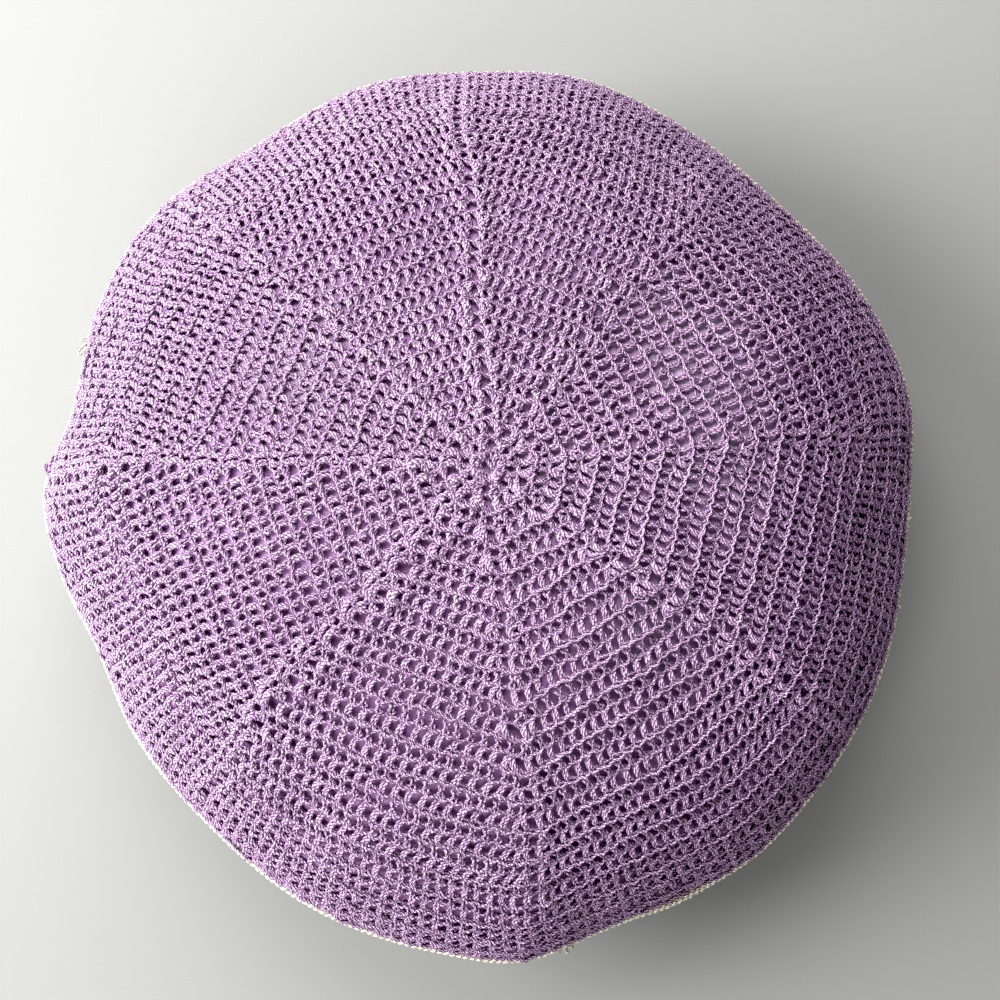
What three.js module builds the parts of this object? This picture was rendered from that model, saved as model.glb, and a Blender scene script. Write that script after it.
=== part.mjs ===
// A round crocheted pillow lying on its back: a filled insert, a lilac front panel, a cream back panel
// and the round of joining stitches along the rim.
// Millimetres, +Z up, with the flat rest at z = 0 and the origin under the centre of the first round.

import * as THREE from 'three';

// Crochet: each panel is worked from its centre in rounds of equal height.
const roundHeight = 5.76;
const panelRounds = 37;
const coverThickness = 3;
const pieceGap = 0.4;

// Front crown: the slope of the panel grows with the round number, to rimSlope at slopeRound.
const slopeRound = 34;
const rimSlope = 52.1;
const slopePower = 2.63;

// Back and rim.
const joinHeight = 53;
const joinHalfGap = 2.7;
const flatRadius = 88;
const joinRadius = 2.1;
const joinInset = 0.3;
const joinSides = 8;

// Relief of the crochet: a chain ridge after every second round, and a thick rib on each increase line.
const ridgeRise = 0.7;
const ribRise = 1.3;
const ribFadeFrom = 26;
const ribFadeTo = 36;

// Straight rounds between the ribs turn into circles towards the rim.
const cornerStretch = 1.075;
const straightUntil = 12;

// Rim unevenness grows over these rounds of the front, and dies away over these turns of the back.
const swayFrom = 15;
const swayTo = 35;
const backSwayFrom = 0.1;
const backSwayTo = 1;

// Soft forms of the front die away over the last rounds.
const settleFrom = 31;

// The eight increase lines, as degrees anticlockwise from +X, seen from the front.
const ribAzimuths = [6.4, 53, 95.5, 138.1, 178.7, 227.2, 277.2, 324.5];

// Steps between two ribs, close together beside a rib so that it stands up.
const sectorSteps = [0, 0.07, 0.18, 0.29, 0.4, 0.5, 0.6, 0.71, 0.82, 0.93];

// Lobes and hollows of the rim: how far it is pushed out (or drawn in) at each azimuth.
const rimLobes = [
  { azimuth: 0, push: -7.7 },
  { azimuth: 12, push: -2.2 },
  { azimuth: 25, push: -3 },
  { azimuth: 45, push: -7.7 },
  { azimuth: 60, push: -4 },
  { azimuth: 79, push: 3.8 },
  { azimuth: 92, push: 3 },
  { azimuth: 106, push: 5.6 },
  { azimuth: 126, push: 2 },
  { azimuth: 141, push: 8.8 },
  { azimuth: 157, push: 5.2 },
  { azimuth: 170, push: 0.3 },
  { azimuth: 181, push: 8 },
  { azimuth: 192, push: 2 },
  { azimuth: 202, push: -5 },
  { azimuth: 215, push: -3.2 },
  { azimuth: 230, push: -2.4 },
  { azimuth: 248, push: 3.5 },
  { azimuth: 263, push: 6.8 },
  { azimuth: 274, push: 9.4 },
  { azimuth: 283, push: 2.8 },
  { azimuth: 294, push: 0.2 },
  { azimuth: 304, push: 1.5 },
  { azimuth: 317, push: -1.8 },
  { azimuth: 336, push: -5.6 },
  { azimuth: 350, push: -9 },
];

// Soft swellings and hollows of the stuffed front, by place, reach and rise.
const softForms = [
  { x: 62, y: 48, reach: 30, rise: -2.6 },
  { x: 119, y: 50, reach: 27, rise: 3 },
  { x: 132, y: -112, reach: 27, rise: 3.6 },
  { x: 80, y: -70, reach: 28, rise: -2 },
  { x: 161, y: -28, reach: 20, rise: -4 },
  { x: -71, y: -138, reach: 14, rise: -2.6 },
  { x: -48, y: 103, reach: 24, rise: 2.6 },
  { x: -120, y: -14, reach: 26, rise: -2 },
];

const lilac = { color: 0xb58fc4, roughness: 0.7, metalness: 0 };
const cream = { color: 0xe9e3d4, roughness: 0.8, metalness: 0 };
const lavender = { color: 0xc9b2dc, roughness: 0.6, metalness: 0 };

const degree = Math.PI / 180;

function smoothStep(low, high, value) {
  const t = Math.min(Math.max((value - low) / (high - low), 0), 1);
  return t * t * (3 - 2 * t);
}

// Slope of the front panel at a round, in radians from level.
function frontSlope(round) {
  return rimSlope * degree * (round / slopeRound) ** slopePower;
}

const lineSteps = 160;

// Middle line of the front: radius and drop below the crown, added up along the rounds.
function frontLine(round) {
  const step = round / lineSteps;
  let radius = 0;
  let drop = 0;
  for (let i = 0; i < lineSteps; i += 1) {
    const slope = frontSlope((i + 0.5) * step);
    radius += Math.cos(slope) * step * roundHeight;
    drop += Math.sin(slope) * step * roundHeight;
  }
  return { radius, drop };
}

const rimLine = frontLine(panelRounds);
const crownHeight = joinHeight + joinHalfGap + rimLine.drop;

// A place on the front profile, with depth measured inwards from its face.
function frontProfile(round, depth) {
  const { radius, drop } = frontLine(round);
  const slope = frontSlope(round);
  return {
    radius: radius - depth * Math.sin(slope),
    height: crownHeight - drop - depth * Math.cos(slope),
  };
}

// A place on the back profile: a quarter ellipse from the rim (turn 0) to the flat (turn 1).
function backProfile(turn, depth) {
  const angle = turn * Math.PI / 2;
  const across = rimLine.radius - flatRadius;
  const down = joinHeight - joinHalfGap;
  const outward = new THREE.Vector2(Math.cos(angle) / across, Math.sin(angle) / down).normalize();
  return {
    radius: flatRadius + across * Math.cos(angle) - depth * outward.x,
    height: down - down * Math.sin(angle) + depth * outward.y,
  };
}

function atAzimuth(radius, azimuth, height) {
  return new THREE.Vector3(radius * Math.cos(azimuth * degree), radius * Math.sin(azimuth * degree), height);
}

// Push of the rim at an azimuth: a smooth closed curve round a plain circle, through the rows of rimLobes.
const plainCircle = 100;
const samplesPerLobe = 24;
const lobeCurve = new THREE.CatmullRomCurve3(
  rimLobes.map(({ azimuth, push }) => atAzimuth(plainCircle + push, azimuth, 0)),
  true,
);
const lobeSamples = lobeCurve.getPoints(rimLobes.length * samplesPerLobe).map((point) => ({
  azimuth: (Math.atan2(point.y, point.x) / degree + 360) % 360,
  push: point.length() - plainCircle,
})).sort((a, b) => a.azimuth - b.azimuth);

function rimPush(azimuth) {
  const next = lobeSamples.findIndex((sample) => sample.azimuth > azimuth);
  const after = lobeSamples[Math.max(next, 0)];
  const before = lobeSamples.at(next - 1);
  const gap = (after.azimuth - before.azimuth + 360) % 360 || 1;
  const share = ((azimuth - before.azimuth + 360) % 360) / gap;
  return before.push + share * (after.push - before.push);
}

// Straight rounds: how much further along the panel a round lies at this azimuth than halfway between ribs.
function chordFactor(sector, share) {
  const start = ribAzimuths[sector];
  const end = ribAzimuths[(sector + 1) % ribAzimuths.length];
  const half = ((end - start + 360) % 360) / 2 * degree;
  return cornerStretch * Math.cos(half) / Math.cos((2 * share - 1) * half);
}

function stretchedRound(round, spoke) {
  const straight = 1 - smoothStep(straightUntil, panelRounds, round);
  return round * (1 + straight * (chordFactor(spoke.sector, spoke.share) - 1));
}

// Spokes: the azimuths at which every solid has its points.
const spokes = ribAzimuths.flatMap((start, sector) => {
  const end = ribAzimuths[(sector + 1) % ribAzimuths.length];
  const width = (end - start + 360) % 360;
  return sectorSteps.map((share) => ({
    sector,
    share,
    azimuth: (start + share * width) % 360,
    push: rimPush((start + share * width) % 360),
  }));
});

function softRise(x, y) {
  return softForms.reduce((sum, form) => {
    const far = ((x - form.x) ** 2 + (y - form.y) ** 2) / form.reach ** 2;
    return sum + form.rise * Math.exp(-far);
  }, 0);
}

function frontPoint(round, depth, spoke) {
  const placed = stretchedRound(round, spoke);
  const { radius, height } = frontProfile(placed, depth);
  const pushed = spoke.push * smoothStep(swayFrom, swayTo, placed);
  const face = atAzimuth(frontProfile(placed, 0).radius + pushed, spoke.azimuth, 0);
  const settled = 1 - smoothStep(settleFrom, panelRounds, placed);
  return atAzimuth(radius + pushed, spoke.azimuth, height + softRise(face.x, face.y) * settled);
}

function backPoint(turn, depth, spoke) {
  const { radius, height } = backProfile(turn, depth);
  const pushed = spoke.push * (1 - smoothStep(backSwayFrom, backSwayTo, turn));
  return atAzimuth(radius + pushed, spoke.azimuth, height);
}

// A closed turned solid: a lathe with one profile point for each station, then each point put in its place.
// Stations run from the bottom up; where they run from the top down, the faces are turned round.
function turnedSolid(stations, topDown = false) {
  const outline = stations.map((_, index) => new THREE.Vector2(1, index));
  const geometry = new THREE.LatheGeometry(outline, spokes.length);
  const position = geometry.attributes.position;
  for (let i = 0; i < position.count; i += 1) {
    const spoke = spokes[Math.floor(i / stations.length) % spokes.length];
    const point = stations[i % stations.length](spoke);
    position.setXYZ(i, point.x, point.y, point.z);
  }
  if (topDown) {
    geometry.setIndex(Array.from(geometry.index.array).reverse());
  }
  geometry.deleteAttribute('uv');
  geometry.deleteAttribute('normal');
  geometry.computeVertexNormals();
  return geometry;
}

function onAxis(height) {
  return () => new THREE.Vector3(0, 0, height);
}

// Chain ridges lie on the odd rounds, and the ribs stand on the first spoke of each sector.
function reliefAt(round, spoke) {
  const ridge = round % 2 === 1 ? ridgeRise : -ridgeRise;
  const rib = spoke.share === 0 ? ribRise * (1 - smoothStep(ribFadeFrom, ribFadeTo, round)) : 0;
  return ridge + rib;
}

const allRounds = Array.from({ length: panelRounds }, (_, i) => i + 1);

// The insert and the inner faces of the panels share these stations, so that they stay an even gap apart.
const innerRounds = [6, 12, 17, 21, 25, 28, 31, 34, 36];
const innerTurns = [0, 0.15, 0.33, 0.55, 0.77, 1];

function frontCover() {
  return turnedSolid([
    onAxis(crownHeight - coverThickness + softRise(0, 0)),
    ...innerRounds.map((round) => (spoke) => frontPoint(round, coverThickness, spoke)),
    (spoke) => frontPoint(panelRounds, coverThickness, spoke),
    ...allRounds.toReversed().map((round) => (spoke) => frontPoint(round, -reliefAt(round, spoke), spoke)),
    onAxis(crownHeight + softRise(0, 0)),
  ]);
}

// The back's rounds from the rim to the flat, in turns of the quarter ellipse; the last ones are plain.
const backSteps = 14;
const lastRidge = 11;
const backTurns = Array.from({ length: backSteps + 1 }, (_, i) => i / backSteps);

function backCover() {
  const ridged = (index) => (index % 2 === 1 && index <= lastRidge ? -ridgeRise : 0);
  return turnedSolid([
    onAxis(0),
    ...backTurns.map((turn, index) => ({ turn, index })).reverse()
      .map(({ turn, index }) => (spoke) => backPoint(turn, ridged(index), spoke)),
    ...innerTurns.map((turn) => (spoke) => backPoint(turn, coverThickness, spoke)),
    onAxis(coverThickness),
  ]);
}

function joiningRound() {
  const ring = Array.from({ length: joinSides + 1 }, (_, i) => (i % joinSides) / joinSides * 2 * Math.PI);
  return turnedSolid(ring.map((angle) => (spoke) => {
    const radius = rimLine.radius - joinInset + spoke.push + joinRadius * Math.cos(angle);
    return atAzimuth(radius, spoke.azimuth, joinHeight + joinRadius * Math.sin(angle));
  }));
}

function insertCushion() {
  const depth = coverThickness + pieceGap;
  return turnedSolid([
    onAxis(crownHeight - depth + softRise(0, 0)),
    ...innerRounds.map((round) => (spoke) => frontPoint(round, depth, spoke)),
    ...innerTurns.slice(1).map((turn) => (spoke) => backPoint(turn, depth, spoke)),
    onAxis(depth),
  ], true);
}

function piece(name, geometry, finish) {
  const mesh = new THREE.Mesh(geometry, new THREE.MeshStandardMaterial(finish));
  mesh.name = name;
  return mesh;
}

const pillow = new THREE.Group();
pillow.add(
  piece('insert', insertCushion(), lavender),
  piece('cover_front', frontCover(), lilac),
  piece('cover_back', backCover(), cream),
  piece('joining_round', joiningRound(), cream),
);

export default pillow;
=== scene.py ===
# A round crocheted pillow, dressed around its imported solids.
# Metres, +Z up, lying on its back, with +Y towards the top of the pillow as seen from the front.

import math

import bpy
import numpy as np
from mathutils import Matrix, Vector


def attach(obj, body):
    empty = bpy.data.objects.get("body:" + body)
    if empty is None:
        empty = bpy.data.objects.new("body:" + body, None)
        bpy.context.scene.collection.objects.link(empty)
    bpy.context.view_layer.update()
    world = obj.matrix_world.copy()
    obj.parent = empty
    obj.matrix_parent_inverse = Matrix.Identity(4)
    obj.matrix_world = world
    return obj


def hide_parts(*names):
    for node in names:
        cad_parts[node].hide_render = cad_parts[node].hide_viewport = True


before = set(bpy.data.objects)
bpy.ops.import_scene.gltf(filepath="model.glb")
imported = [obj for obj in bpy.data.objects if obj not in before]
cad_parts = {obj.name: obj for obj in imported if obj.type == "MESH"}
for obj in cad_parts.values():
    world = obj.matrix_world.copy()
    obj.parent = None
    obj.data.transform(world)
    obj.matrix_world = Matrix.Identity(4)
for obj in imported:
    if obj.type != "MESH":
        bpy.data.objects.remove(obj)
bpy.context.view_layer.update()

print("stage: frame loaded")

# The pillow's own shape, the same as its solids. Azimuths are degrees anticlockwise from +X.
pillow = {
    "roundHeight": 0.00576,
    "rounds": 37,
    "slopeRound": 34,  # the round at which the front has the slope below
    "rimSlope": 52.1,  # in degrees; it grows on to the last round by the power below
    "slopePower": 2.63,
    "joinHeight": 0.053,
    "joinHalfGap": 0.0027,
    "profileRounds": 40,  # how far out the front's profile is worked out
    "profileSteps": 4000,
    "ellipseSteps": 2000,
    "flatRadius": 0.088,  # of the flat round that the back rests on
    "cornerStretch": 1.075,  # how much further out the corners of a straight round lie
    "straightUntil": 12,  # rounds are straight between two ribs up to here, and then turn into circles
    "sway": (15, 35),  # rounds of the front over which the rim's lobes grow in
    "backSway": (0.1, 1.0),  # share of the back's turn over which they die away
    "settleFrom": 31,  # round from which the soft forms die away
    "sectorStitches": 28,  # stitches between two ribs once the increases end
    "ribs": [6.4, 53, 95.5, 138.1, 178.7, 227.2, 277.2, 324.5],
    "lobes": [  # azimuth, push in mm
        (0, -7.7), (12, -2.2), (25, -3), (45, -7.7), (60, -4), (79, 3.8), (92, 3), (106, 5.6), (126, 2),
        (141, 8.8), (157, 5.2), (170, 0.3), (181, 8), (192, 2), (202, -5), (215, -3.2), (230, -2.4),
        (248, 3.5), (263, 6.8), (274, 9.4), (283, 2.8), (294, 0.2), (304, 1.5), (317, -1.8), (336, -5.6),
        (350, -9),
    ],
    "forms": [  # x, y, reach and rise in mm
        (62, 48, 30, -2.6), (119, 50, 27, 3), (132, -112, 27, 3.6), (80, -70, 28, -2), (161, -28, 20, -4),
        (-71, -138, 14, -2.6), (-48, 103, 24, 2.6), (-120, -14, 26, -2),
    ],
}

mm = 0.001
ribs = np.array(pillow["ribs"], float)
ribWidths = (np.roll(ribs, -1) - ribs) % 360
sectors = len(ribs)
lobes = np.array(pillow["lobes"], float)
forms = np.array(pillow["forms"], float) * mm


def smoothStep(low, high, value):
    # three t squared less two t cubed, of the share t of the way from low to high
    t = np.clip((value - low) / (high - low), 0, 1)
    return t * t * (3 - 2 * t)


def runningSum(height, step):
    # area under a curve so far, by the trapezium rule
    return np.concatenate([[0], np.cumsum((height[1:] + height[:-1]) / 2 * step)])


# Front profile: the slope grows as a power of the round, and radius and drop are the running sums of its
# cosine and its sine.
lineRounds = np.linspace(0, pillow["profileRounds"], pillow["profileSteps"] + 1)
lineSlope = math.radians(pillow["rimSlope"]) * (lineRounds / pillow["slopeRound"]) ** pillow["slopePower"]
lineStep = pillow["roundHeight"] * (lineRounds[1] - lineRounds[0])
lineRadius = runningSum(np.cos(lineSlope), lineStep)
lineDrop = runningSum(np.sin(lineSlope), lineStep)
rimRadius = float(np.interp(pillow["rounds"], lineRounds, lineRadius))
rimDrop = float(np.interp(pillow["rounds"], lineRounds, lineDrop))
crownHeight = pillow["joinHeight"] + pillow["joinHalfGap"] + rimDrop

# Back profile: a flat round and then a quarter of an ellipse up to the rim, measured in rounds from the
# centre and stretched a little, so that it has as many rounds as the front.
backDown = pillow["joinHeight"] - pillow["joinHalfGap"]
backAcross = rimRadius - pillow["flatRadius"]
ellipseAngle = np.linspace(math.pi / 2, 0, pillow["ellipseSteps"] + 1)
ellipseStep = np.hypot(np.diff(backAcross * np.cos(ellipseAngle)), np.diff(backDown * np.sin(ellipseAngle)))
ellipseRounds = (pillow["flatRadius"] + np.concatenate([[0], np.cumsum(ellipseStep)])) / pillow["roundHeight"]
backStretch = pillow["rounds"] / ellipseRounds[-1]
ellipseRounds = ellipseRounds * backStretch


def rimPush(azimuth):
    # a smooth cubic between the rows of lobes, with each row's slope taken from its two neighbours
    place, push = lobes[:, 0], lobes[:, 1] * mm
    count = len(place)
    i = (np.searchsorted(place, azimuth % 360, side="right") - 1) % count
    gap = (np.roll(place, -1) - place) % 360
    rise = (np.roll(push, -1) - push) / gap
    slope = (np.roll(rise, 1) * gap + rise * np.roll(gap, 1)) / (gap + np.roll(gap, 1))
    after = (i + 1) % count
    t = ((azimuth - place[i]) % 360) / gap[i]
    early = (2 * t**3 - 3 * t**2 + 1) * push[i] + (t**3 - 2 * t**2 + t) * slope[i] * gap[i]
    late = (3 * t**2 - 2 * t**3) * push[after] + (t**3 - t**2) * slope[after] * gap[i]
    return early + late


def azimuthAt(rounds, turns):
    # turns is the sector's number plus the share of the way across it; where the rounds are straight, even
    # steps along the chord become angles by the arc tangent, and towards the rim they are even angles
    sector = np.floor(turns).astype(int) % sectors
    share = turns - np.floor(turns)
    half = np.radians(ribWidths[sector] / 2)
    chordShare = 0.5 + np.arctan((2 * share - 1) * np.tan(half)) / (2 * half)
    straight = 1 - smoothStep(pillow["straightUntil"], pillow["rounds"], rounds)
    share = share + straight * (chordShare - share)
    return ribs[sector] + share * ribWidths[sector], share, half


def frontPlace(rounds, turns, lift):
    # a point of the front: stretched round to radius and drop, pushed at the rim, raised by the soft forms,
    # and then lifted along its normal
    azimuth, share, half = azimuthAt(rounds, turns)
    chord = pillow["cornerStretch"] * np.cos(half) / np.cos((2 * share - 1) * half)
    straight = 1 - smoothStep(pillow["straightUntil"], pillow["rounds"], rounds)
    placed = rounds * (1 + straight * (chord - 1))
    slope = np.interp(placed, lineRounds, lineSlope)
    around = np.radians(azimuth)
    push = rimPush(azimuth) * smoothStep(*pillow["sway"], placed)
    radius = np.interp(placed, lineRounds, lineRadius) + push
    x = radius * np.cos(around)
    y = radius * np.sin(around)
    far = ((x[..., None] - forms[:, 0]) ** 2 + (y[..., None] - forms[:, 1]) ** 2) / forms[:, 2] ** 2
    settled = 1 - smoothStep(pillow["settleFrom"], pillow["rounds"], placed)
    rise = (forms[:, 3] * np.exp(-far)).sum(-1) * settled
    z = crownHeight - np.interp(placed, lineRounds, lineDrop) + rise
    normal = np.stack([np.sin(slope) * np.cos(around), np.sin(slope) * np.sin(around), np.cos(slope)], -1)
    return np.stack([x, y, z], -1) + normal * lift[..., None], normal


def backPlace(rounds, turns, lift):
    # a point of the back: flat out to the flat radius, then the quarter ellipse, lifted along its normal
    azimuth, share, half = azimuthAt(rounds, turns)
    angle = np.interp(rounds, ellipseRounds, ellipseAngle)
    turn = angle * 2 / math.pi
    flat = np.minimum(rounds * pillow["roundHeight"] / backStretch, pillow["flatRadius"])
    across = np.where(rounds < ellipseRounds[0], 0, np.cos(angle))
    normalOut = across / backAcross
    normalDown = np.where(rounds < ellipseRounds[0], 1, np.sin(angle)) / backDown
    size = np.hypot(normalOut, normalDown)
    around = np.radians(azimuth)
    radius = flat + backAcross * across + rimPush(azimuth) * (1 - smoothStep(*pillow["backSway"], turn))
    z = backDown - backDown * np.where(rounds < ellipseRounds[0], 1, np.sin(angle))
    normal = np.stack(
        [normalOut / size * np.cos(around), normalOut / size * np.sin(around), -normalDown / size], -1
    )
    point = np.stack([radius * np.cos(around), radius * np.sin(around), z], -1)
    return point + normal * lift[..., None], normal


def unit(vectors):
    # each vector divided by its length
    return vectors / np.maximum(np.linalg.norm(vectors, axis=-1, keepdims=True), 1e-12)


def closedTube(centre, normal, radius, sides, twist):
    # a round profile carried along a closed path: each ring lies across the path's direction, and the
    # map's first number counts twists of the yarn along the path and its second goes once round it
    ahead = unit(np.roll(centre, -1, 0) - np.roll(centre, 1, 0))
    side = unit(np.cross(ahead, normal))
    over = np.cross(side, ahead)
    angle = np.arange(sides) * 2 * math.pi / sides
    ring = np.cos(angle)[None, :, None] * side[:, None] + np.sin(angle)[None, :, None] * over[:, None]
    points = centre[:, None] + radius[:, None, None] * ring
    count = len(centre)
    i, j = np.meshgrid(np.arange(count), np.arange(sides), indexing="ij")
    i2, j2 = (i + 1) % count, (j + 1) % sides
    faces = np.stack([i * sides + j, i2 * sides + j, i2 * sides + j2, i * sides + j2], -1).reshape(-1, 4)
    length = np.linalg.norm(np.roll(centre, -1, 0) - centre, axis=1)
    along = np.concatenate([[0], np.cumsum(length)])
    along = along * max(round(along[-1] / twist), 1) / along[-1]
    u = np.stack([along[i], along[i + 1], along[i + 1], along[i]], -1)
    v = np.stack([j, j, j + 1, j + 1], -1) / sides
    return points.reshape(-1, 3), faces, np.stack([u, v], -1).reshape(-1, 2)


def makePiece(name, points, faces, uv=None, tone=None, material=None):
    # puts whole arrays into a new mesh; every face has the same number of corners
    corners = faces.shape[1]
    mesh = bpy.data.meshes.new(name)
    mesh.vertices.add(len(points))
    mesh.vertices.foreach_set("co", points.astype(np.float32).ravel())
    mesh.loops.add(faces.size)
    mesh.loops.foreach_set("vertex_index", faces.astype(np.int32).ravel())
    mesh.polygons.add(len(faces))
    mesh.polygons.foreach_set("loop_start", np.arange(0, faces.size, corners, dtype=np.int32))
    mesh.polygons.foreach_set("use_smooth", np.ones(len(faces), bool))
    mesh.update(calc_edges=True)
    if uv is not None:
        layer = mesh.uv_layers.new(name="yarn")
        layer.uv.foreach_set("vector", uv.astype(np.float32).ravel())
    if tone is not None:
        mesh.attributes.new("tone", "FLOAT", "POINT").data.foreach_set("value", tone.astype(np.float32))
    mesh.validate()
    piece = bpy.data.objects.new(name, mesh)
    bpy.context.scene.collection.objects.link(piece)
    if material:
        mesh.materials.append(material)
    return piece


# The yarn, how it strays, and its paths through one stitch. Each row of a path is: across the stitch, along
# the round's height, and lift in mm.
yarn = {
    "radius": 0.87 * mm,
    "fullness": [0.89, 0.95, 1.02, 1.05, 1.03, 1.01, 0.95, 0.88],  # how thick the yarn is in each sector
    "middleFull": 0.22,  # how much thicker it is in the middle rounds, which are worked tighter
    "middleFade": (6, 16),
    "layerDepth": 1.6 * mm,  # of the yarn's middle below the pillow's surface
    "twist": 4.8 * mm,  # length of one unit of the material's map along the yarn
    "ribRise": 0.9 * mm,
    "ribBeside": 0.8,  # how far beside a rib its strands are thickest, in stitches
    "ribReach": 0.7,
    "ribFade": (28, 37),
    "ribThick": 0.22,
    "ribs": [  # per rib: how far a hole opens on odd rounds and on even ones, and its place in stitches
        (0.25, 0.15, 0.6), (0.30, 0.15, 0.6), (0.40, 0.35, -0.4), (0.50, 0.30, 0.6), (0.40, 0.30, 0.6),
        (0.55, 0.35, 0.6), (0.30, 0.15, -0.4), (0.55, 0.30, 0.6),
    ],
    "ribOpenReach": 1.1,
    "ribOpenVary": (0.25, 3.7, 2.3),  # share by which holes differ, and its phase for each round and each rib
    "ribStray": (0.12, 2.4, 1.7),  # how far a hole strays sideways, in stitches, and the same phases
    "ribWave": (0.35, 0.4, 1.9),  # how far the whole rib wanders sideways, in stitches, and the same phases
    "ribWaveReach": 5,
    "ribWaveFrom": (4, 12),
    "settle": 0.15,  # how far the heads of a round shift, in stitches, which stands the posts more upright
    "settleFade": (22, 30),
    "waver": 0.065,  # how far rounds wander, in rounds
    "waverWaves": [(5, 0.9, 0), (11, -0.5, 2), (19, 1.3, 0)],  # waves round the pillow, phase a round, start
    "waverFrom": (2, 8),
    "waverUntil": (33, 37),
    # how far each sector's middle rounds are stretched outwards, in rounds
    "outward": [0.95, 0.50, 0.30, 0.10, 0.30, 0.35, 0.35, 0.15],
    "outwardFrom": (10, 23),
    "outwardTo": (25, 37),
    "rimRelief": 0.45,  # how much more relief the last rounds have
    "rimReliefFrom": (28, 35),
    "ridgeProud": [0.60, 0.20, 0.25, 0.80, 0.30, 0.45, 0.80, 0.90],  # how far each sector's ridges stand out
    "ridgeMore": 0.55 * mm,  # how far that is, at most
    "paintedRidgeLight": 0.3,  # painted light: how much lighter a ridge is coloured where it stands out, for the light it catches
    "ridgeCalm": (0.8, 1.5),  # how much less the ridges stand out at a rib, and its reach in stitches
    "unevenAcross": 0.055,
    "unevenAlong": 0.048,
    "unevenLift": 0.18 * mm,
    "firstRing": 0.60,  # where the posts of the first round stand, in rounds
    "loosePoint": (0.015, 0.015, 0.06 * mm),  # how far each point of a path strays by itself
    "unevenThick": 0.09,
    "paintedPostShade": 0.45,  # painted shade: how much darker posts are coloured than the ridges where ridges stand out, for the shade they lie in
    "postSink": 0.12 * mm,  # how much lower they lie there
    # odd rounds: a post that leans, with its second leg behind
    "leaningPost": [
        (0.02, -0.02, -0.5), (-0.07, 0.28, 0.3), (-0.08, 0.60, 0.7), (0.02, 0.88, 0.5), (0.28, 1.02, 0.0),
        (0.17, 0.72, 0.5), (0.14, 0.40, 0.7), (0.20, 0.10, 0.4), (0.62, -0.04, -0.5),
    ],
    # even rounds: a post of two legs that cross twice
    "crossedPost": [
        (0.06, 0.00, -0.4), (-0.12, 0.24, 0.4), (0.07, 0.50, 1.0), (-0.12, 0.78, 0.5), (0.10, 1.02, 0.0),
        (0.34, 0.80, 0.4), (0.12, 0.52, 0.2), (0.34, 0.22, 0.6), (0.66, 0.02, -0.4),
    ],
    # the chain on odd rounds: a front strand that stands proud, and a slanting strand from the post to it
    "ridgeFront": [(0.0, -0.03, 0.6), (0.35, 0.11, 1.0), (0.68, 0.02, 0.7)],
    "ridgeSlant": [(0.08, -0.30, 0.3), (0.40, -0.14, 0.6), (0.75, -0.02, -0.2)],
    # the chain on even rounds lies lower
    "lowChain": [(0.0, 0.0, 0.2), (0.33, 0.10, 0.65), (0.66, -0.07, 0.2)],
    # the strands of a round: path, whether it is a post, sides and thickness
    "oddRound": [
        ("leaningPost", True, 5, 0.98), ("ridgeFront", False, 4, 0.88), ("ridgeSlant", False, 4, 0.9),
    ],
    "evenRound": [("crossedPost", True, 5, 0.95), ("lowChain", False, 4, 1.0)],
    "seed": 11,
}
draw = np.random.default_rng(yarn["seed"])


def stitchesIn(number):
    # stitches of a sector: one more each round until it is full
    return min(max(number, 1), pillow["sectorStitches"])


def headShift(number):
    # the heads of odd rounds shift forward and those of even rounds back
    fade = 1 - float(smoothStep(*yarn["settleFade"], number))
    return yarn["settle"] * fade * (1 if number % 2 else -1)


def perSector(values, turns):
    # a value for each sector, blended from the middle of one to the middle of the next by a cosine
    values = np.array(values)
    here = np.floor(turns - 0.5).astype(int) % sectors
    blend = 0.5 - 0.5 * np.cos(math.pi * (turns - 0.5 - np.floor(turns - 0.5)))
    return values[here] * (1 - blend) + values[(here + 1) % sectors] * blend


def bell(distance, reach):
    # e to the power of minus the square of the distance, counted in reaches
    return np.exp(-((distance / reach) ** 2))


def ribSwing(values, number, rib):
    # a sine whose phase grows with the round's number and differs from rib to rib
    size, perRound, perRib = values
    return size * np.sin(perRound * number + perRib * rib)


def wander(rounds, turns):
    # how far a round strays from its place: three slow waves round the pillow that shift with the round, and
    # each sector's own stretch of its middle rounds
    around = turns * 2 * math.pi / sectors
    waves = sum(np.sin(count * around + phase * rounds + start) for count, phase, start in yarn["waverWaves"])
    steady = smoothStep(*yarn["waverFrom"], rounds) * (1 - smoothStep(*yarn["waverUntil"], rounds))
    middle = smoothStep(*yarn["outwardFrom"], rounds) * (1 - smoothStep(*yarn["outwardTo"], rounds))
    return yarn["waver"] * waves * steady + perSector(yarn["outward"], turns) * middle


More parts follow.
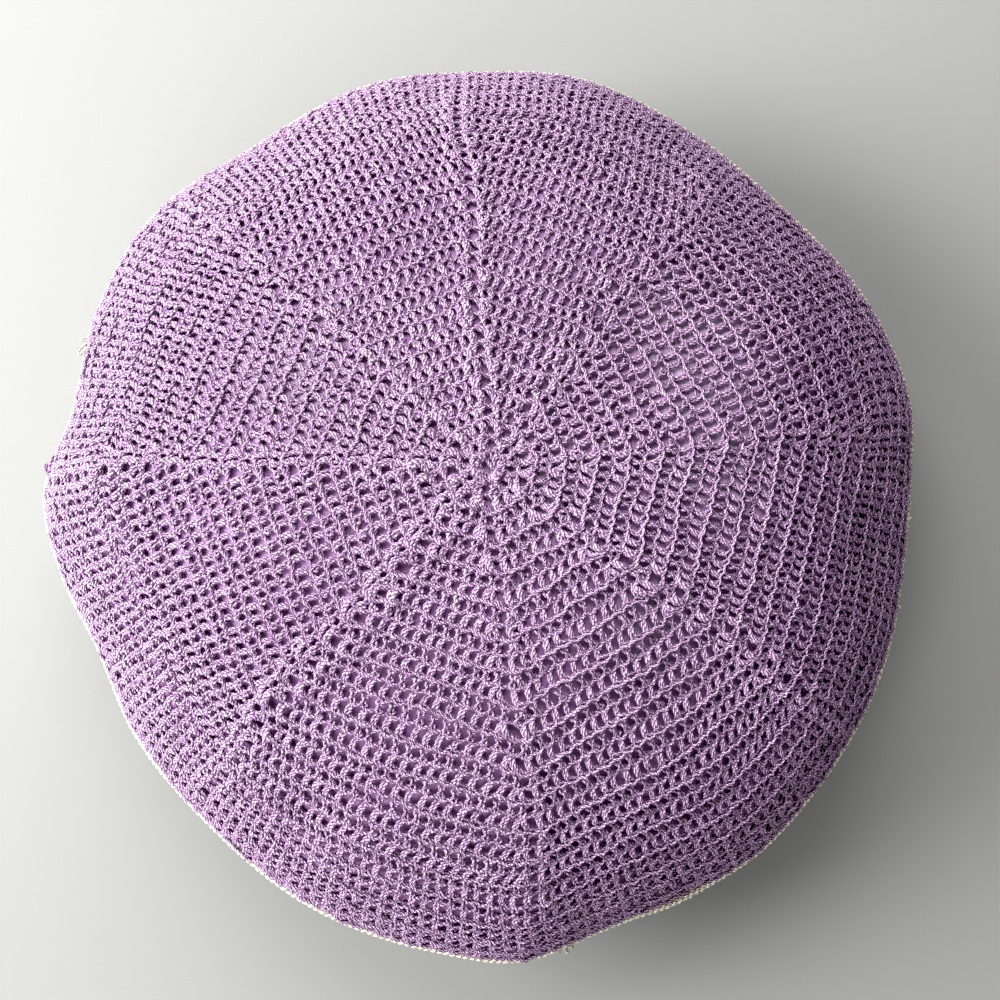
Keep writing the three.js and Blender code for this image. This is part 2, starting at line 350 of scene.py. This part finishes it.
def yarnLoop(place, number, path, isPost, sides, thick=1.0, liftShare=1.0, proud=0.0):
    # repeats a stitch's path round one round: its across and along become turns and rounds, where the foot of
    # a stitch stands on the round below, and two feet share a place beside a rib where a stitch is added
    path = np.array(path, float)
    count = stitchesIn(number)
    below = stitchesIn(number - 1) if number > 1 else count
    stitch = np.arange(count * sectors)
    sector, index = stitch // count, stitch % count
    foot = index
    if below < count:
        foot = np.minimum(index, below - 1) if number % 2 else np.maximum(index - 1, 0)
    each = (len(stitch), 1)
    across = path[None, :, 0] + draw.normal(0, yarn["unevenAcross"], each)
    along = path[None, :, 1] + draw.normal(0, yarn["unevenAlong"], each)
    lift = path[None, :, 2] * mm * liftShare + draw.normal(0, yarn["unevenLift"], each) * liftShare
    strays = draw.normal(0, 1, (3, len(stitch), len(path))) * np.array(yarn["loosePoint"])[:, None, None]
    across = across + strays[0]
    along = along + strays[1]
    lift = lift + strays[2] * liftShare
    head = (index[:, None] + across + headShift(number)) / count
    if isPost:
        base = (foot[:, None] + across + headShift(number - 1)) / below
        share = base + (head - base) * np.clip(along, 0, 1)
        rounds = number - 1 + along
        if number == 1:
            rounds = yarn["firstRing"] + along * (1 - yarn["firstRing"])
    else:
        share = head
        rounds = number + along
    owner = np.where(share < 0.5, sector[:, None], sector[:, None] + 1) % sectors
    nearest = np.where(share < 0.5, share, share - 1) * count
    ribRow = np.array(yarn["ribs"])[owner]
    fade = (1 - smoothStep(*yarn["ribFade"], rounds)) * liftShare
    opening = ribRow[..., 0 if number % 2 else 1] * fade * (1 + ribSwing(yarn["ribOpenVary"], number, owner))
    beside = nearest - ribRow[..., 2] - ribSwing(yarn["ribStray"], number, owner)
    rib = 2 * opening * bell(np.abs(beside) - yarn["ribBeside"], yarn["ribReach"])
    parted = opening * beside * bell(beside, yarn["ribOpenReach"])
    swayed = ribSwing(yarn["ribWave"], number, owner) * bell(nearest, yarn["ribWaveReach"])
    swayed = swayed * smoothStep(*yarn["ribWaveFrom"], number)
    turns = sector[:, None] + share + (parted + swayed * fade) / count
    rounds = rounds + wander(rounds, turns)
    lift = lift * (1 + yarn["rimRelief"] * smoothStep(*yarn["rimReliefFrom"], rounds))
    lift = lift + yarn["ribRise"] * rib - yarn["layerDepth"]
    calm, calmReach = yarn["ridgeCalm"]
    standing = perSector(yarn["ridgeProud"], turns) * (1 - calm * bell(nearest, calmReach))
    lift = lift + (proud - yarn["postSink"] * isPost * liftShare) * standing
    uneven = 1 + draw.normal(0, yarn["unevenThick"], each)
    fuller = 1 + yarn["middleFull"] * (1 - smoothStep(*yarn["middleFade"], rounds)) * liftShare
    fuller = fuller * perSector(yarn["fullness"], turns)
    radius = yarn["radius"] * thick * (1 + yarn["ribThick"] * rib) * uneven * fuller
    # the tone: a random share for each stitch, lowered on posts as painted shade and raised on standing
    # ridges as painted light
    tone = draw.random(each) * (1 - yarn["paintedPostShade"] * isPost * liftShare * standing)
    tone = tone + yarn["paintedRidgeLight"] * (proud > 0) * standing
    centre, normal = place(rounds.ravel(), turns.ravel(), lift.ravel())
    tube = closedTube(centre, normal, radius.ravel(), sides, yarn["twist"])
    return tube + (np.repeat(tone.ravel(), sides),)


def joinTubes(tubes):
    # several tubes as one set of arrays
    starts = np.cumsum([0] + [len(t[0]) for t in tubes[:-1]])
    points = np.concatenate([t[0] for t in tubes])
    faces = np.concatenate([t[1] + s for t, s in zip(tubes, starts)])
    uv = np.concatenate([t[2] for t in tubes])
    tone = np.concatenate([t[3] for t in tubes])
    return points, faces, uv, tone


def frontRound(number):
    # an odd round is a leaning post, a ridge strand that stands proud and a slanting strand; an even one is a
    # crossed post and a low chain
    strands = yarn["oddRound" if number % 2 else "evenRound"]
    return [
        yarnLoop(
            frontPlace, number, yarn[path], isPost, sides, thick,
            proud=yarn["ridgeMore"] if path == "ridgeFront" else 0.0,
        )
        for path, isPost, sides, thick in strands
    ]


# Materials


def newMaterial(name):
    # a material with its nodes, their links and its shader
    material = bpy.data.materials.new(name)
    material.use_nodes = True
    nodes = material.node_tree.nodes
    return material, nodes, material.node_tree.links, nodes["Principled BSDF"]


def mathNode(nodes, links, operation, first, second=None):
    # one sum on two numbers or sockets
    node = nodes.new("ShaderNodeMath")
    node.operation = operation
    for socket, value in zip(node.inputs, (first, second)):
        if value is None:
            continue
        if isinstance(value, (int, float)):
            socket.default_value = value
        else:
            links.new(value, socket)
    return node.outputs[0]


def mixColour(nodes, links, share, first, second):
    # the share of the way from the first colour to the second, each a colour or a socket
    node = nodes.new("ShaderNodeMix")
    node.data_type = "RGBA"
    for name, value in (("Factor", share), ("A", first), ("B", second)):
        socket = [s for s in node.inputs if s.name == name and s.enabled][0]
        if isinstance(value, (tuple, float)):
            socket.default_value = (*value, 1) if isinstance(value, tuple) else value
        else:
            links.new(value, socket)
    return [s for s in node.outputs if s.enabled][0]


yarnFinish = {"fuzzDetail": 1.0, "fuzzFrom": 0.36, "fuzzTo": 0.60, "sheenRoughness": 0.4}  # the same for both


def yarnMaterial(name, look):
    # plies wind round the strand: the height is the sine of plies times the way round plus the twists along,
    # made round-topped by a power; a fainter wave of the plies' own twist winds the other way and breaks them
    # into beads, and the grooves between them are coloured darker, a painted shade in the recesses
    material, nodes, links, shader = newMaterial(name)
    uvMap = nodes.new("ShaderNodeUVMap")
    uvMap.uv_map = "yarn"
    split = nodes.new("ShaderNodeSeparateXYZ")
    links.new(uvMap.outputs[0], split.inputs[0])
    place = nodes.new("ShaderNodeTexCoord")
    fuzz = nodes.new("ShaderNodeTexNoise")
    fuzz.inputs["Scale"].default_value = look["fuzzScale"]
    fuzz.inputs["Detail"].default_value = yarnFinish["fuzzDetail"]
    links.new(place.outputs["Object"], fuzz.inputs["Vector"])
    strayed = mathNode(nodes, links, "MULTIPLY", fuzz.outputs["Fac"], look["plyStray"])
    around = mathNode(nodes, links, "MULTIPLY", split.outputs[1], float(look["plies"]))
    around = mathNode(nodes, links, "ADD", around, strayed)
    twists = mathNode(nodes, links, "MULTIPLY", split.outputs[0], look["turns"])
    turned = mathNode(nodes, links, "ADD", around, twists)
    wave = mathNode(nodes, links, "SINE", mathNode(nodes, links, "MULTIPLY", turned, math.pi))
    ply = mathNode(nodes, links, "POWER", mathNode(nodes, links, "ABSOLUTE", wave), look["plyShape"])
    against = mathNode(nodes, links, "MULTIPLY", split.outputs[0], look["beadTurns"])
    back = mathNode(nodes, links, "SUBTRACT", around, against)
    bead = mathNode(nodes, links, "SINE", mathNode(nodes, links, "MULTIPLY", back, math.pi))
    bead = mathNode(nodes, links, "MULTIPLY", mathNode(nodes, links, "ABSOLUTE", bead), look["beadDepth"])
    ply = mathNode(nodes, links, "MULTIPLY", ply, mathNode(nodes, links, "ADD", bead, 1 - look["beadDepth"]))
    tone = nodes.new("ShaderNodeAttribute")
    tone.attribute_name = "tone"
    loose = nodes.new("ShaderNodeMapRange")
    links.new(fuzz.outputs["Fac"], loose.inputs["Value"])
    loose.inputs["From Min"].default_value = yarnFinish["fuzzFrom"]
    loose.inputs["From Max"].default_value = yarnFinish["fuzzTo"]
    loose.inputs["To Min"].default_value = 1 - look["fuzz"]
    ply = mathNode(nodes, links, "MULTIPLY", ply, loose.outputs[0])
    broad = nodes.new("ShaderNodeTexNoise")
    broad.inputs["Scale"].default_value = look["broadScale"]
    links.new(place.outputs["Object"], broad.inputs["Vector"])
    # the stitch's tone, which carries the painted shade on posts and painted light on ridges, and the fuzz
    # choose between the darker and lighter colour
    speck = mathNode(nodes, links, "ADD", tone.outputs["Fac"], fuzz.outputs["Fac"])
    speck = mathNode(nodes, links, "SUBTRACT", speck, 0.5)
    stitchTone = mixColour(nodes, links, speck, look["shade"], look["light"])
    broadTone = mixColour(nodes, links, broad.outputs["Fac"], stitchTone, look["warm"])
    # painted shade: where the ply's height is low, between the plies, the colour turns to the dark groove
    # colour
    colour = mixColour(nodes, links, ply, look["paintedGrooveShade"], broadTone)
    links.new(colour, shader.inputs["Base Color"])
    shader.inputs["Roughness"].default_value = look["roughness"]
    shader.inputs["Specular IOR Level"].default_value = look["specular"]
    shader.inputs["Sheen Weight"].default_value = look["sheen"]
    shader.inputs["Sheen Roughness"].default_value = yarnFinish["sheenRoughness"]
    bump = nodes.new("ShaderNodeBump")
    bump.inputs["Strength"].default_value = look["bump"]
    bump.inputs["Distance"].default_value = look["plyHeight"]
    links.new(ply, bump.inputs["Height"])
    links.new(bump.outputs[0], shader.inputs["Normal"])
    return material


# Turns are counted along one unit of the yarn's map, and the depths and fuzz are shares from 0 to 1.
# In both looks the groove colour is painted shade in the recesses between the plies.
lilacLook = {
    "plies": 3, "turns": 2.6, "plyShape": 0.9, "beadTurns": 2.1, "beadDepth": 0.5, "plyHeight": 0.62 * mm,
    "bump": 1.0, "broadScale": 9.0, "fuzz": 0.28, "fuzzScale": 600.0, "plyStray": 1.0,
    "paintedGrooveShade": (0.050, 0.008, 0.057), "shade": (0.44, 0.280, 0.455), "light": (0.67, 0.480, 0.685),
    "warm": (0.61, 0.43, 0.615), "roughness": 0.42, "specular": 0.42, "sheen": 0.0,
}
creamLook = {
    "plies": 3, "turns": 4.0, "plyShape": 0.7, "beadTurns": 2.0, "beadDepth": 0.35, "plyHeight": 0.5 * mm,
    "bump": 1.0, "broadScale": 9.0, "fuzz": 0.3, "fuzzScale": 600.0, "plyStray": 0.9,
    "paintedGrooveShade": (0.26, 0.22, 0.15), "shade": (0.74, 0.69, 0.58), "light": (0.83, 0.79, 0.70),
    "warm": (0.80, 0.74, 0.62), "roughness": 0.55, "specular": 0.4, "sheen": 0.2,
}
lilacYarn = yarnMaterial("lilacYarn", lilacLook)
creamYarn = yarnMaterial("creamYarn", creamLook)
print("stage: materials made")

# Loose ends: narrow loops of thread that stand out at the rim. Each row is: azimuth, length and width in mm,
# lean towards the rim's own direction in degrees, and height above the joining round in mm.
looseEnds = {
    "cream": [
        (160.4, 6.5, 2.2, 78, 3.0), (159.6, 4.0, 1.2, 40, 2.5), (278.6, 3.5, 0.9, -30, 0.5),
        (279.0, 4.2, 0.8, 10, 0.0), (279.4, 3.0, 1.0, 40, 1.0), (355.4, 3.0, 1.0, 20, 1.0),
        (343.8, 3.5, 0.8, -30, 1.0),
    ],
    "lilac": [(176.0, 7.0, 1.6, 84, 4.0), (178.5, 5.0, 1.2, -70, 3.0)],
    "thread": 0.42 * mm,
    "lilacThread": 0.75 * mm,
    "climb": 0.2,  # how far it rises for each step out
    "samples": 14,
    "sides": 4,
    "tone": 0.5,
}


def looseEnd(row, thickness):
    # a closed loop: out by half the length times one less the cosine, and across by half the width times the
    # sine
    azimuth, length, width, lean, rise = row
    around = math.radians(azimuth)
    outward = math.radians(azimuth + lean)
    swing = np.arange(looseEnds["samples"]) * 2 * math.pi / looseEnds["samples"]
    out = length / 2 * mm * (1 - np.cos(swing))
    across = width / 2 * mm * np.sin(swing)
    radius = rimRadius + float(rimPush(np.array([azimuth]))[0])
    x = radius * math.cos(around) + out * math.cos(outward) - across * math.sin(outward)
    y = radius * math.sin(around) + out * math.sin(outward) + across * math.cos(outward)
    z = pillow["joinHeight"] + rise * mm + looseEnds["climb"] * out
    normal = np.tile([0.0, 0.0, 1.0], (len(swing), 1))
    radii = np.full(len(swing), thickness)
    tube = closedTube(np.stack([x, y, z], -1), normal, radii, looseEnds["sides"], yarn["twist"])
    return tube + (np.full(len(swing) * looseEnds["sides"], looseEnds["tone"]),)


# The start of the yarn: a narrow loop that lies over the first ring, towards the top rib. Its ends, width,
# lift and ripple are in mm.
startLoop = {
    "from": (2.2, -1.2), "to": (-3.2, 10.5), "width": 2.2, "lift": 0.7, "ripple": 0.2, "ripples": 3,
    "thickness": 0.85 * mm, "samples": 20, "sides": 6, "tone": 0.6,
}


def startTube():
    # the same closed loop as a loose end, laid on the crown between its two ends, with a rippled height
    start, end = np.array(startLoop["from"]) * mm, np.array(startLoop["to"]) * mm
    ahead = end - start
    aside = np.array([-ahead[1], ahead[0]]) / np.hypot(*ahead)
    swing = np.arange(startLoop["samples"]) * 2 * math.pi / startLoop["samples"]
    share = (0.5 - 0.5 * np.cos(swing))[:, None]
    flat = start + share * ahead + (startLoop["width"] / 2 * mm * np.sin(swing))[:, None] * aside
    lift = startLoop["lift"] * mm * np.sin(math.pi * share[:, 0])
    lift = lift + startLoop["ripple"] * mm * np.sin(startLoop["ripples"] * swing)
    height = crownHeight - yarn["layerDepth"] + lift
    normal = np.tile([0.0, 0.0, 1.0], (len(swing), 1))
    thickness = np.full(len(swing), startLoop["thickness"])
    tube = closedTube(np.column_stack([flat, height]), normal, thickness, startLoop["sides"], yarn["twist"])
    return tube + (np.full(len(swing) * startLoop["sides"], startLoop["tone"]),)


# Front panel: bands of rounds, each a piece of its own.
frontBands = {
    "frontCrochetMiddle": (1, 18),
    "frontCrochetInner": (19, 25),
    "frontCrochetOuter": (26, 31),
    "frontCrochetRim": (32, 37),
}
for name, (first, last) in frontBands.items():
    tubes = [tube for number in range(first, last + 1) for tube in frontRound(number)]
    if first == 1:
        tubes.append(startTube())
    if last == pillow["rounds"]:
        tubes += [looseEnd(row, looseEnds["lilacThread"]) for row in looseEnds["lilac"]]
    band = makePiece(name, *joinTubes(tubes), material=lilacYarn)
    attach(band, "root")
    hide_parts("cover_front")
    print(f"stage: {name}, {len(band.data.polygons) * 2} triangles")


# Back panel: the same crochet in cream, plainer, and flat where the pillow rests.
backYarn = {
    "post": [(0.05, 0.0, -0.5), (0.0, 0.5, 0.6), (0.22, 1.0, 0.0), (0.42, 0.4, -0.1)],
    "chain": [(0.0, 0.0, 0.7), (0.5, 0.05, 1.0)],
    "sides": 4,
    "thickness": 1.2,
    "pressed": 0.25,  # how much of its relief is left where the pillow rests
    "pressedFade": (14, 22),
    "pieces": {"backCrochetMiddle": (1, 24), "backCrochetRim": (25, 37)},
}


def backRound(number):
    # a zigzag post and one chain strand, pressed flat inside the resting round
    fullShare = float(smoothStep(*backYarn["pressedFade"], number))
    pressed = backYarn["pressed"] + (1 - backYarn["pressed"]) * fullShare
    sides, thickness = backYarn["sides"], backYarn["thickness"]
    posts = yarnLoop(backPlace, number, backYarn["post"], True, sides, thickness, pressed)
    chain = yarnLoop(backPlace, number, backYarn["chain"], False, sides, thickness, pressed)
    return [posts, chain]


for name, (first, last) in backYarn["pieces"].items():
    tubes = [tube for number in range(first, last + 1) for tube in backRound(number)]
    points, faces, uv, tone = joinTubes(tubes)
    points[:, 2] = np.maximum(points[:, 2], 0.0)
    band = makePiece(name, points, faces, uv, tone, creamYarn)
    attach(band, "root")
    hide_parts("cover_back")
    print(f"stage: {name}, {len(faces) * 2} triangles")


# Joining round: two cream strands that twist round each other along the rim, one turn for each stitch.
joining = {
    "radius": 1.0 * mm, "spread": 1.0 * mm, "outset": 0.7 * mm, "samples": 5, "sides": 5,
    "peek": (294.0, 4.5, 1.7),  # azimuth, reach in degrees and push in mm where it stands out past the front
}


def joiningTube(phase):
    # a ring at the rim's radius and height, wound round by a circle of the spread that turns once a stitch
    stitches = pillow["sectorStitches"] * sectors
    step = np.arange(stitches * joining["samples"]) / joining["samples"]
    azimuth = step * 360 / stitches
    around = np.radians(azimuth)
    winding = step * 2 * math.pi + phase
    place, reach, push = joining["peek"]
    peek = push * mm * bell(azimuth - place, reach)
    radius = rimRadius + joining["outset"] + peek + rimPush(azimuth) + joining["spread"] * np.cos(winding)
    height = pillow["joinHeight"] + joining["spread"] * np.sin(winding)
    centre = np.stack([radius * np.cos(around), radius * np.sin(around), height], -1)
    normal = np.stack([np.cos(around), np.sin(around), 0 * around], -1)
    thickness = np.full(len(step), joining["radius"])
    tube = closedTube(centre, normal, thickness, joining["sides"], yarn["twist"])
    tone = np.repeat(draw.random(stitches), joining["samples"] * joining["sides"])
    return tube + (tone,)


creamEnds = [looseEnd(row, looseEnds["thread"]) for row in looseEnds["cream"]]
joiningTubes = joinTubes([joiningTube(0), joiningTube(math.pi)] + creamEnds)
joiningPiece = makePiece("joiningStitches", *joiningTubes, material=creamYarn)
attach(joiningPiece, "root")
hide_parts("joining_round")
print("stage: joining stitches made")


insertLook = {
    "weaveScale": 1100,
    "plain": ((0.33, 0.165, 0.36), (0.54, 0.345, 0.57)),  # painted shade: the cloth darker and more saturated, as in the shade of the holes; between and on the threads of the weave
    # painted light: a paler, lit copy of the same cloth with the sky's reflection, between and on the threads
    # of the weave
    "paintedLitCloth": ((0.42, 0.31, 0.45), (0.66, 0.54, 0.68)),
    "roughness": 0.55, "specular": 0.2, "bump": 0.3, "relief": 0.1 * mm,
}


def insertMaterial():
    # smooth cloth: a fine even noise for its weave, in colour and in relief, with a darker copy of its colour
    # as painted shade and a paler copy as painted light at the listed places
    material, nodes, links, shader = newMaterial("insertCloth")
    place = nodes.new("ShaderNodeTexCoord")
    weave = nodes.new("ShaderNodeTexNoise")
    weave.inputs["Scale"].default_value = insertLook["weaveScale"]
    links.new(place.outputs["Object"], weave.inputs["Vector"])
    paintedLitShare = nodes.new("ShaderNodeAttribute")
    paintedLitShare.attribute_name = "paintedLitShare"
    plain = mixColour(nodes, links, weave.outputs["Fac"], *insertLook["plain"])
    paintedLitCloth = mixColour(nodes, links, weave.outputs["Fac"], *insertLook["paintedLitCloth"])
    colour = mixColour(nodes, links, paintedLitShare.outputs["Fac"], plain, paintedLitCloth)
    links.new(colour, shader.inputs["Base Color"])
    shader.inputs["Roughness"].default_value = insertLook["roughness"]
    shader.inputs["Specular IOR Level"].default_value = insertLook["specular"]
    bump = nodes.new("ShaderNodeBump")
    bump.inputs["Strength"].default_value = insertLook["bump"]
    bump.inputs["Distance"].default_value = insertLook["relief"]
    links.new(weave.outputs["Fac"], bump.inputs["Height"])
    links.new(bump.outputs[0], shader.inputs["Normal"])
    return material


# Insert: a filled cushion under the crochet, blown up a little by a cloth simulation.
insert = {
    "depth": 4.7 * mm, "around": 96, "ringStep": 2, "voxel": 8 * mm,
    "pressure": 4.0, "quality": 4, "frames": 20, "cap": 2.0 * mm,
    "fullPlaces": [  # x, y, reach and rise in mm, where the crochet is stretched and the insert comes up
        (-95, 30, 50, 0.6), (62, 42, 40, -0.5), (15, -62, 18, 0.7), (20, 120, 60, 0.5), (10, -160, 70, -0.3),
        (140, 5, 60, 0.5), (65, -80, 45, -0.8),
    ],
    "paintedLitPlaces": [  # x, y and reach in mm, where its cloth is painted paler, as lit cloth with the sky's reflection
        (76, 56, 28), (92, 4, 24), (24, -8, 20), (62, -58, 16), (-74, 46, 26), (-150, 30, 24),
    ],
}


def bells(points, places):
    # for each point, how near it is to each place in x and y: a bell curve with the place's reach
    far = (points[:, :1] - places[:, 0]) ** 2 + (points[:, 1:2] - places[:, 1]) ** 2
    return np.exp(-far / places[:, 2] ** 2)


def insertGrid():
    # rings of the front from the middle out, then rings of the back from the rim in, closed at both ends
    turns = np.arange(insert["around"]) * sectors / insert["around"]
    inward = np.full(len(turns), -insert["depth"])
    full = np.array(insert["fullPlaces"], float) * mm
    rings = []
    for number in range(insert["ringStep"], pillow["rounds"], insert["ringStep"]):
        rounds = np.full(len(turns), float(number))
        place = frontPlace(rounds, turns, inward)[0]
        lift = inward + (full[:, 3] * bells(place, full)).sum(1)
        rings.append(frontPlace(rounds, turns, lift)[0])
    for number in range(pillow["rounds"] - 1, 1, -insert["ringStep"]):
        rings.append(backPlace(np.full(len(turns), float(number)), turns, inward)[0])
    top = rings[0].mean(0)
    bottom = rings[-1].mean(0)
    points = np.concatenate(rings + [top[None], bottom[None]])
    i, j = np.meshgrid(np.arange(len(rings) - 1), np.arange(len(turns)), indexing="ij")
    k = (j + 1) % len(turns)
    wide = len(turns)
    quads = np.stack([i * wide + j, (i + 1) * wide + j, (i + 1) * wide + k, i * wide + k], -1).reshape(-1, 4)
    first, second, third, fourth = quads.T
    triangles = np.concatenate([np.stack([first, second, third], -1), np.stack([first, third, fourth], -1)])
    j = np.arange(wide)
    k = (j + 1) % wide
    last = (len(rings) - 1) * wide
    lid = np.stack([np.full(wide, len(points) - 2), j, k], -1)
    base = np.stack([np.full(wide, len(points) - 1), last + k, last + j], -1)
    return points, np.concatenate([triangles, lid, base])


def evaluatedMesh(piece):
    # a copy of a piece's mesh as its modifiers leave it
    graph = bpy.context.evaluated_depsgraph_get()
    return bpy.data.meshes.new_from_object(piece.evaluated_get(graph))


def meshPoints(mesh):
    # all points of a mesh as rows of x, y and z
    points = np.zeros(len(mesh.vertices) * 3, np.float32)
    mesh.vertices.foreach_get("co", points)
    return points.reshape(-1, 3)


def swell(piece, values):
    # cloth under pressure with gravity off; each point then moves at most the cap from where it started
    start = meshPoints(piece.data)
    cloth = piece.modifiers.new("cloth", "CLOTH")
    cloth.settings.use_pressure = True
    cloth.settings.uniform_pressure_force = values["pressure"]
    cloth.settings.effector_weights.gravity = 0
    cloth.settings.quality = values["quality"]
    scene = bpy.context.scene
    for step in range(1, values["frames"] + 1):
        scene.frame_set(step)
    moved = meshPoints(evaluatedMesh(piece)) - start
    far = np.linalg.norm(moved, axis=1, keepdims=True)
    piece.modifiers.remove(cloth)
    scene.frame_set(1)
    points = start + moved * np.minimum(1, values["cap"] / np.maximum(far, 1e-9))
    piece.data.vertices.foreach_set("co", points.astype(np.float32).ravel())
    piece.data.update()


def paintLitPatches(piece, places):
    # an attribute that places the cloth's painted light: the sum of the places' bell curves, at most one,
    # none on the back
    points = meshPoints(piece.data)
    near = np.minimum(bells(points, np.array(places, float) * mm).sum(1), 1)
    near = near * (points[:, 2] > pillow["joinHeight"])
    piece.data.attributes.new("paintedLitShare", "FLOAT", "POINT").data.foreach_set("value", near.astype(np.float32))


insertPiece = makePiece("insertCushion", *insertGrid(), material=insertMaterial())
remesh = insertPiece.modifiers.new("even faces", "REMESH")
remesh.mode = "VOXEL"
remesh.voxel_size = insert["voxel"]
remesh.use_smooth_shade = True
insertPiece.data = evaluatedMesh(insertPiece)
insertPiece.modifiers.clear()
swell(insertPiece, insert)
paintLitPatches(insertPiece, insert["paintedLitPlaces"])
finer = insertPiece.modifiers.new("finer", "SUBSURF")
finer.levels = 1
finer.render_levels = 1
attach(insertPiece, "root")
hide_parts("insert")
print(f"stage: insert made, {len(insertPiece.data.polygons) * 8} triangles")

# Floor, light and camera
floorLook = {"half": 3, "height": -0.0003, "colour": (0.215, 0.215, 0.208), "roughness": 0.7}
floorCorners = [(-1, -1), (1, -1), (1, 1), (-1, 1)]
floorMesh = bpy.data.meshes.new("floor")
floorPoints = [(x * floorLook["half"], y * floorLook["half"], floorLook["height"]) for x, y in floorCorners]
floorMesh.from_pydata(floorPoints, [], [(0, 1, 2, 3)])
floor = bpy.data.objects.new("floor", floorMesh)
bpy.context.scene.collection.objects.link(floor)
floorMaterial, floorNodes, floorLinks, floorShader = newMaterial("paleFloor")
floorShader.inputs["Base Color"].default_value = (*floorLook["colour"], 1)
floorShader.inputs["Roughness"].default_value = floorLook["roughness"]
floorMesh.materials.append(floorMaterial)

lighting = {
    "skyStrength": 0.23,
    "skyColour": (0.95, 0.96, 1.0),
    "aim": (0, 0, 0.06),
    "lamps": [  # name, place, width, power in watts
        ("windowLight", (-1.5, 0.10, 0.74), 1.0, 75),
        ("topLight", (-0.2, 1.05, 0.85), 1.2, 31),
        ("lowLight", (-0.5, -1.1, 0.75), 1.0, 15),
    ],
}
world = bpy.data.worlds.new("softSky")
bpy.context.scene.world = world
world.use_nodes = True
background = world.node_tree.nodes["Background"]
background.inputs["Color"].default_value = (*lighting["skyColour"], 1)
background.inputs["Strength"].default_value = lighting["skyStrength"]
for name, place, width, power in lighting["lamps"]:
    lamp = bpy.data.lights.new(name, "AREA")
    lamp.shape = "SQUARE"
    lamp.size = width
    lamp.energy = power
    lampObject = bpy.data.objects.new(name, lamp)
    lampObject.location = place
    towards = Vector(lighting["aim"]) - Vector(place)
    lampObject.rotation_euler = towards.to_track_quat("-Z", "Y").to_euler()
    bpy.context.scene.collection.objects.link(lampObject)

# The camera stands over the crown and looks down on it, leaning a little towards the top of the pillow.
picture = {
    "lens": 36, "sensor": 36, "nearest": 0.01,
    "place": (0.0095, -0.0578), "aboveCrown": 0.3818,
    "forward": (-0.0136, 0.1159, -0.9932), "up": (0, 0.9933, 0.1159),
    "look": "Medium High Contrast", "blackLevel": 0.014,
}
camera = bpy.data.cameras.new("camera")
camera.lens = picture["lens"]
camera.sensor_width = picture["sensor"]
camera.sensor_fit = "HORIZONTAL"
camera.clip_start = picture["nearest"]
cameraObject = bpy.data.objects.new("camera", camera)
bpy.context.scene.collection.objects.link(cameraObject)
forward = Vector(picture["forward"]).normalized()
right = forward.cross(Vector(picture["up"])).normalized()
upward = right.cross(forward)
turnMatrix = Matrix((right, upward, -forward)).transposed().to_4x4()
cameraHeight = crownHeight + picture["aboveCrown"]
cameraObject.matrix_world = Matrix.Translation((*picture["place"], cameraHeight)) @ turnMatrix
bpy.context.scene.camera = cameraObject
viewSettings = bpy.context.scene.view_settings
viewSettings.view_transform = "Standard"
viewSettings.look = picture["look"]
viewSettings.use_curve_mapping = True
viewSettings.curve_mapping.black_level = [picture["blackLevel"]] * 3
viewSettings.curve_mapping.update()

print("stage: done")
